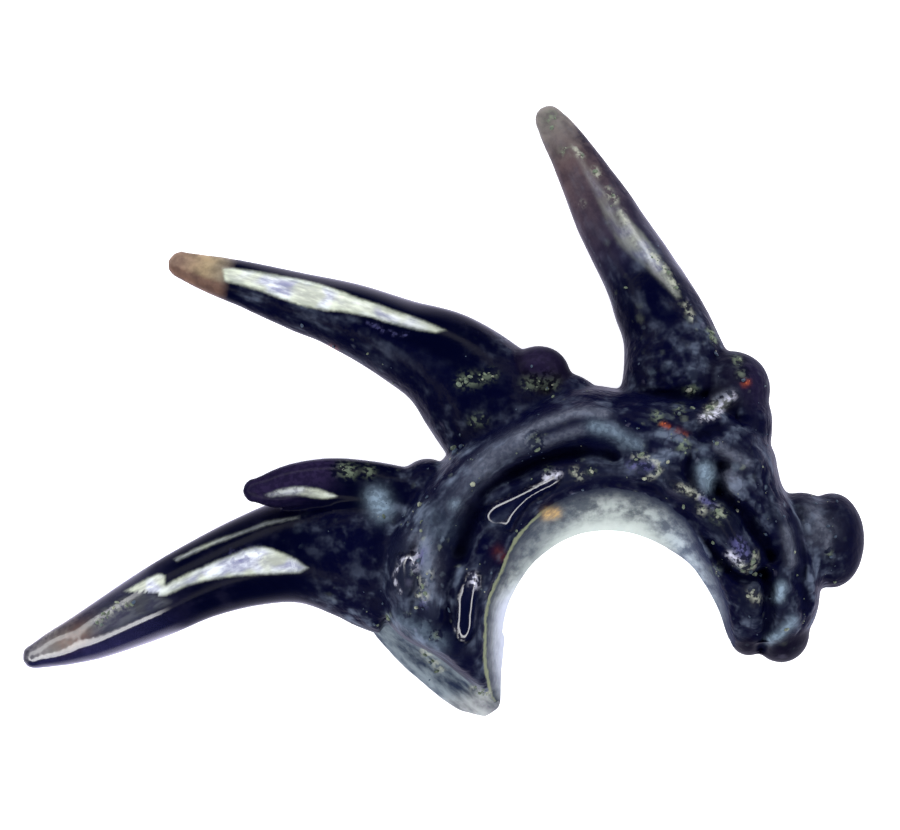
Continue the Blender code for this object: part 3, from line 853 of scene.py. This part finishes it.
# Cloudy wear: patches, streaks along the growth and fine grain in one value from 0 to 1
clouds, make, given = new_group(
    "ShaderNodeTree", "mottling", {"Place": "Vector", "Growth": "Vector", "Streaks": "Float"},
    {"Value": "Float"}
)
broad = make.noise(given["Place"], 3.6, 3.0, 0.5)
fibre = make.noise(make.mapped(given["Growth"], Scale=(1.0, 0.28, 1.0)), 9.0, 2.0, 0.5)
loose = make.noise(given["Place"], 8.0, 2.0, 0.5)
fine = make.noise(given["Place"], 15.0, 2.0, 0.5)
middle = make.blend(given["Streaks"], loose, fibre)
finer = make.math("ADD", make.times(middle, 0.42), make.times(fine, 0.10))
total = make.math("ADD", make.times(broad, 0.48), finer)
make.add("NodeGroupOutput", {"Value": make.math("POWER", make.rise(total, 0.42, 0.67), 2.2)})

PIT_DEPTH = 0.013  # of the finest roughness, which is shading only


def make_enameloid():
    """Blue-black mineralised enameloid and bone, brown at the fangs' points, with a pale inner wall."""
    material, n, shader = new_material("black enameloid")
    place = n.scaled(n.add("ShaderNodeTexCoord").outputs["Object"], 1 / MM)  # in millimetres
    growth, gloss, heads = n.field("growth", "Vector"), n.field("gloss"), n.field("heads")
    relief, dusty = n.field("relief"), n.field("dusty")
    dull = n.times(n.math("SUBTRACT", 1.0, gloss), n.rise(heads, 0.0, 1.0, 1.0, 0.3))
    mottled = n.group(clouds, Place=place, Growth=growth, Streaks=n.field("streaks"))["Value"]
    mottled = n.times(n.math("ADD", mottled, n.times(relief, 0.20)), dusty)
    mottled = n.add("ShaderNodeClamp", {0: mottled}).outputs[0]
    fine = n.noise(place, 22.0, 2.0, 0.5)

    # Matt bone with its packed grains, and glassy enameloid
    bone = n.colour(mottled, (0.0008, 0.0012, 0.014), (0.135, 0.166, 0.225))
    pebble, kind, pebbled = n.field("pebble"), n.field("pebble_kind"), n.field("pebbled")
    dusted = n.times(n.rise(pebble, 0.1, 1.0), n.rise(kind, -0.2, 1.0))
    dusted = n.times(dusted, n.rise(mottled, 0.0, 0.5, 0.25, 1.0), dusty)
    coat_of_dust = n.colour(n.rise(kind, 0.2, 0.8), (0.10, 0.12, 0.16), (0.14, 0.18, 0.22))
    bone = n.colour(n.times(dusted, pebbled, 0.55), bone, coat_of_dust)
    bone = n.colour(n.times(n.rise(pebble, 0.4, 0.0), pebbled, 0.5), bone, (0.0010, 0.0015, 0.012))
    glass = n.colour(mottled, (0.0004, 0.0008, 0.008), (0.006, 0.006, 0.018))
    base = n.colour(dull, glass, bone)
    plum = n.colour(fine, (0.0010, 0.0010, 0.0055), (0.005, 0.0035, 0.012))
    base = n.colour(n.times(heads, 0.85), base, plum)

    # Clinging specks, and painted shade in the deep grooves
    patchy = n.rise(n.noise(place, 3.2, 2.0), 0.42, 0.62, 0.1, 1.0)
    large = n.group(specks, Place=place, Density=6.5, Share=0.34)
    small = n.group(specks, Place=place, Density=12.0, Share=0.30)
    for found, strength in ((large, 0.35), (small, 0.40)):
        base = n.colour(n.times(found["Mask"], patchy, dull, dusty, strength), base, found["Colour"])
    # painted shade: the deep grooves darkened towards near black
    sunk = n.rise(relief, -0.1, -0.7)
    base = n.colour(n.times(sunk, 0.9), base, (0.0012, 0.0018, 0.015))

    # Horn-brown points, and the painted highlights, laid as pale films with their creamy patches and edges
    cloudy = n.rise(n.noise(place, 7.0, 3.0, 0.6), 0.30, 0.70, 0.55, 1.0)
    base = n.colour(n.times(n.field("horn", "Alpha"), cloudy), base, n.field("horn", "Color"))
    fibrous = n.mapped(growth, Scale=(1.0, 0.30, 1.0))
    thick = n.rise(n.noise(fibrous, 14.0, 3.0, 0.55), 0.30, 0.70)
    edge = n.math("ADD", n.field("highlight_film"), n.times(n.math("SUBTRACT", fine, 0.5), 0.03))
    # painted highlight
    highlight_film = n.times(n.rise(edge, -0.018, 0.030), n.field("highlight_film_strength"), n.rise(thick, 0.0, 1.0, 0.75, 1.0))
    highlight_colour = n.colour(thick, (0.32, 0.33, 0.48), (0.82, 0.86, 0.86))
    patches = n.rise(n.noise(place, 2.4, 2.0, 0.6), 0.46, 0.58, 0.0, 0.65)
    highlight_colour = n.colour(patches, highlight_colour, (0.62, 0.66, 0.44))
    highlight_colour = n.colour(n.rise(edge, 0.075, 0.0, 0.0, 0.6), highlight_colour, (0.50, 0.56, 0.40))
    base = n.colour(highlight_film, base, highlight_colour)

    # The arch's inner wall: chalky on the left, slaty on the right, darkened under the rim by painted shade,
    # and pale, partly its own chalky colour and partly painted light, palest at its edge as if light came
    # through it. A thin line of painted light runs along the rim on the left. around is the angle from +X, in
    # degrees.
    around = n.field("around")
    unevenness = n.times(n.math("SUBTRACT", n.noise(place, 12.0, 3.0), 0.5), 0.05)
    ragged = n.math("ADD", n.field("rim_depth"), unevenness)
    wall = n.rise(ragged, -0.004, 0.010)
    far_side = n.rise(around, 80.0, 40.0)
    leaning = n.mapped(place, Scale=(1.0, 1.0, 0.16))
    stipple = n.rise(n.noise(leaning, 7.0, 4.0, 0.6), 0.34, 0.66)
    chalk_and_painted_light = n.colour(stipple, (0.085, 0.10, 0.11), (0.37, 0.41, 0.38))
    slate = n.colour(stipple, (0.09, 0.115, 0.165), (0.45, 0.52, 0.57))
    chalk_and_painted_light = n.colour(far_side, chalk_and_painted_light, slate)
    upper_left = n.times(n.rise(around, 96.0, 112.0), n.rise(around, 150.0, 128.0), 0.55)
    chalk_and_painted_light = n.colour(upper_left, chalk_and_painted_light, (0.05, 0.065, 0.09))
    # painted light at the wall's inner edge, as if light came through it
    painted_light_at_edge = n.colour(n.rise(around, 130.0, 165.0), (0.60, 0.66, 0.60), (0.58, 0.61, 0.72))
    nearer = n.math("ADD", ragged, n.times(n.rise(around, 130.0, 165.0, 0.0, 0.13), 1.6))
    chalk_and_painted_light = n.colour(n.rise(nearer, 0.20, 0.40, 0.0, 0.9), chalk_and_painted_light, painted_light_at_edge)
    # painted shade under the rim
    shade_under_rim = n.colour(far_side, (0.022, 0.028, 0.045), (0.010, 0.014, 0.04))
    base = n.colour(wall, base, n.colour(n.rise(ragged, 0.0, 0.20), shade_under_rim, chalk_and_painted_light))
    # a thin line of painted light along the rim's edge
    painted_rim_glow = n.times(wall, n.rise(ragged, 0.040, 0.020), n.rise(around, 108.0, 122.0))
    base = n.colour(n.times(painted_rim_glow, 0.55), base, (0.30, 0.33, 0.18))

    # The flange, streaked along its hem, and the stains, painted shade and painted highlights over
    # everything. Stains with dots are broken up.
    turned = n.mapped(leaning, Rotation=(0, 0, math.radians(40)))
    hem_grain = n.rise(n.noise(n.mapped(turned, Scale=(0.5, 1.5, 1.0)), 6.0, 4.0, 0.62), 0.32, 0.68)
    hem = n.colour(hem_grain, (0.020, 0.028, 0.055), (0.20, 0.24, 0.26))
    cream = n.colour(hem_grain, (0.13, 0.14, 0.15), (0.36, 0.38, 0.37))
    hem = n.colour(n.rise(around, 196.0, 204.0), hem, cream)
    flange = n.field("flange")
    base = n.colour(flange, base, hem)
    least = n.rise(n.field("dotted"), 0.0, 0.03, 0.60, 0.05)
    broken = n.blend(least, n.rise(n.noise(place, 20.0, 2.0, 0.5), 0.42, 0.60), 1.0)
    base = n.colour(n.times(n.field("stains_and_painted_light", "Alpha"), broken), base, n.field("stains_and_painted_light", "Color"))

    worn = n.rise(mottled, 0.0, 1.0, 0.40, 0.55)
    polished = n.rise(mottled, 0.0, 1.0, 0.16, 0.24)
    roughness = n.blend(gloss, n.blend(heads, worn, 0.45), polished)
    roughness = n.blend(n.math("MAXIMUM", n.math("MAXIMUM", wall, flange), sunk), roughness, 0.65)
    pitted = n.math("ADD", n.times(fine, dull, 0.6), n.times(n.noise(place, 10.0, 2.0, 0.5), dull, 1.6))
    pitted = n.math("ADD", pitted, n.times(large["Mask"], dull, 0.5))
    bump = n.add("ShaderNodeBump", {"Height": pitted, "Strength": 0.8, "Distance": PIT_DEPTH * MM})
    n.feed(shader, {
        "Base Color": base, "Roughness": n.blend(highlight_film, roughness, 0.28), "IOR": 1.24,
        "Specular IOR Level": 0.08, "Coat Weight": n.field("shine"), "Coat Roughness": 0.09, "Coat IOR": 1.7,
        "Normal": bump.outputs["Normal"],
    })
    return material


tooth_mesh.materials.clear()
tooth_mesh.materials.append(make_enameloid())
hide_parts("tooth")
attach(tooth, "root")

# ----------------------------------------
# The silt grains. They are angular grains of quartz, clay and iron-stained rock from the sediment
# that the tooth lay in, and they still cling to the matt bone, scattered and in small clusters.
SCATTERED, CLUSTERED = 70, 520  # grains on a square millimetre
SMALLEST, LARGEST = 0.007, 0.034  # radius


def make_silt():
    """Rough mineral grains, each cream, greenish, bluish or rust-red."""
    material, n, shader = new_material("silt")
    tint, rust, clusters = n.field("grain_tint"), n.field("rust"), n.field("clusters")
    cloudy = n.noise(n.add("ShaderNodeTexCoord").outputs["Object"], 40 / MM, 2.0)
    base = n.colour(n.rise(n.math("ADD", tint, clusters), 0.50, 0.60), (0.06, 0.09, 0.13), (0.15, 0.19, 0.12))
    base = n.colour(n.rise(tint, 0.80, 0.95), base, (0.33, 0.35, 0.25))
    base = n.colour(n.rise(cloudy, 0.3, 0.7, 0.5, 0.0), base, (0.03, 0.035, 0.05))
    base = n.colour(n.rise(rust, 0.3, 0.5), base, (0.45, 0.09, 0.025))
    roughness = n.rise(cloudy, 0.3, 0.7, 0.45, 0.70)
    n.feed(shader, {"Base Color": base, "Roughness": roughness, "Specular IOR Level": 0.2})
    return material


def make_grain_tree(material):
    """Grains set half into the surface where its attributes ask for them, each of its own size and turn."""
    numbers = dict.fromkeys(("Scattered", "Clustered", "Smallest", "Largest"), "Float")
    tree, make, given = new_group(
        "GeometryNodeTree", "silt grains", {"Surface": "Geometry", **numbers}, {"Grains": "Geometry"}
    )

    def surface_field(name):
        named = make.add("GeometryNodeInputNamedAttribute", {"Name": name}, data_type="FLOAT")
        return named.outputs["Attribute"]

    def number_draw(seed):
        inputs = {2: 0.0, 3: 1.0, "Seed": seed}
        return make.add("FunctionNodeRandomValue", inputs, data_type="FLOAT").outputs[1]

    def vector_draw(low, high, seed):
        inputs = {0: low, 1: high, "Seed": seed}
        return make.add("FunctionNodeRandomValue", inputs, data_type="FLOAT_VECTOR").outputs[0]

    position = make.add("GeometryNodeInputPosition").outputs[0]
    patches = make.rise(make.noise(position, 2.6 / MM, 2.0), 0.45, 0.62)
    scattered = make.times(surface_field("bare"), patches, given["Scattered"])
    wanted = make.math("MAXIMUM", surface_field("clusters"), surface_field("rust"))
    clustered = make.times(wanted, wanted, given["Clustered"])
    density = make.math("ADD", scattered, clustered)
    spots = make.add(
        "GeometryNodeDistributePointsOnFaces", {"Mesh": given["Surface"], "Density": density, "Seed": 5}
    ).outputs["Points"]
    grain = make.add("GeometryNodeMeshIcoSphere", {"Radius": 1.0, "Subdivisions": 1}).outputs["Mesh"]
    draw = number_draw(11)
    share = make.times(draw, draw, draw)
    sizes = {"Value": share, "To Min": given["Smallest"], "To Max": given["Largest"]}
    size = make.add("ShaderNodeMapRange", sizes).outputs["Result"]
    scale = make.scaled(vector_draw((0.5, 0.6, 0.4), (1.6, 1.2, 0.9), 12), size)
    turn = vector_draw((0, 0, 0), (6.28, 6.28, 6.28), 13)
    placed = make.add(
        "GeometryNodeInstanceOnPoints", {"Points": spots, "Instance": grain, "Rotation": turn, "Scale": scale}
    ).outputs[0]
    tint = {"Geometry": placed, "Name": "grain_tint", "Value": number_draw(14)}
    tinted = make.add(
        "GeometryNodeStoreNamedAttribute", tint, data_type="FLOAT", domain="INSTANCE"
    ).outputs[0]
    real = make.add("GeometryNodeRealizeInstances", {"Geometry": tinted}).outputs[0]
    coloured = make.add("GeometryNodeSetMaterial", {"Geometry": real, "Material": material}).outputs[0]
    make.add("NodeGroupOutput", {"Grains": coloured})
    return tree


def make_silt_grains():
    silt = make_silt()
    tree = make_grain_tree(silt)
    source = add_object("bed of the grains", tooth_mesh.copy())
    modifier = source.modifiers.new("silt", "NODES")
    modifier.node_group = tree
    sizes = {
        "Scattered": SCATTERED / MM**2, "Clustered": CLUSTERED / MM**2,
        "Smallest": SMALLEST * MM, "Largest": LARGEST * MM,
    }
    for name, value in sizes.items():
        modifier[tree.interface.items_tree[name].identifier] = value
    mesh = evaluated_mesh(source)
    mesh.name = "silt_grains"
    mesh.materials.clear()
    mesh.materials.append(silt)
    bpy.data.objects.remove(source, do_unlink=True)
    of_the_tooth = {*fields, "growth", "stains_and_painted_light", "horn"} - {"rust", "clusters"}
    for name in [layer.name for layer in mesh.attributes]:
        if name in of_the_tooth:
            mesh.attributes.remove(mesh.attributes[name])
    grains = add_object("silt_grains", mesh)
    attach(grains, "root")


make_silt_grains()

# ----------------------------------------
# The table, the lamp and the camera. The table is a lit white plate, the lamp a round soft panel
# with a bright rim that hangs almost overhead, and the camera looks straight down.
TABLE_RADIUS = 0.4
CORE_EDGE = 0.27, 0.31  # where the lamp's dim middle ends and its bright rim begins, 0.5 being its edge


def make_table():
    bm = bmesh.new()
    bmesh.ops.create_circle(bm, cap_ends=True, segments=64, radius=TABLE_RADIUS)
    mesh = bpy.data.meshes.new("table")
    bm.to_mesh(mesh)
    bm.free()
    table = add_object("table", mesh)
    material, n, shader = new_material("lit white plate")
    n.feed(shader, {
        "Base Color": (0.85, 0.85, 0.86, 1), "Roughness": 0.8, "Specular IOR Level": 0.0,
        "Emission Color": (1, 1, 1, 1), "Emission Strength": 0.9,
    })
    mesh.materials.append(material)
    table.visible_glossy = False


def make_panel(name, zenith, azimuth, reach, spread, radiance, core):
    """A round lamp aimed at the tooth. spread is its half angle, and core how bright its middle is."""
    data = bpy.data.lights.new(name, "AREA")
    data.shape = "DISK"
    size = 2 * reach * math.tan(math.radians(spread))
    data.size = size
    data.energy = radiance * math.pi * math.pi * (size / 2) ** 2
    data.use_nodes = True
    n = Nodes(data.node_tree)
    across = n.add("ShaderNodeNewGeometry").outputs["Parametric"]
    off_middle = n.add("ShaderNodeVectorMath", {0: across, 1: (0.5, 0.5, 0)}, operation="SUBTRACT").outputs[0]
    radius = n.add("ShaderNodeVectorMath", {0: off_middle}, operation="LENGTH").outputs["Value"]
    n.feed(n.tree.nodes["Emission"], {"Strength": n.rise(radius, *CORE_EDGE, core, 1.0)})
    lamp = add_object(name, data)
    z, a = math.radians(zenith), math.radians(azimuth)
    away = Vector((math.sin(z) * math.cos(a), math.sin(z) * math.sin(a), math.cos(z)))
    lamp.location = away * reach
    lamp.rotation_euler = away.to_track_quat("Z", "Y").to_euler()


make_table()
make_panel("round panel", zenith=8, azimuth=110, reach=0.10, spread=68, radiance=7.3, core=0.0)

world = bpy.data.worlds.new("studio")
world.use_nodes = True
sky = Nodes(world.node_tree)
direction = sky.add("ShaderNodeTexCoord").outputs["Generated"]
upward = sky.add("ShaderNodeSeparateXYZ", {0: direction}).outputs["Z"]
room = sky.colour(sky.rise(upward, -0.75, -0.10), (1.5, 1.45, 1.9), (0.02, 0.035, 0.15))
sky.feed(world.node_tree.nodes["Background"], {"Color": room})
scene.world = world

WIDTH = 900  # of the frame, in pixels
PIXEL = 0.0095 * MM  # one of them at the tooth's middle height
FRAME_MIDDLE = (7.5 * PIXEL, -4 * PIXEL, 0.9 * MM)
LENS, SENSOR = 500.0, 36.0

lens = bpy.data.cameras.new("camera")
lens.lens = LENS
lens.sensor_width = SENSOR
lens.clip_start = 0.001
lens.clip_end = 10
camera = add_object("camera", lens)
camera.location = Vector(FRAME_MIDDLE) + Vector((0, 0, WIDTH * PIXEL * LENS / SENSOR))
scene.camera = camera
scene.view_settings.view_transform = "Standard"
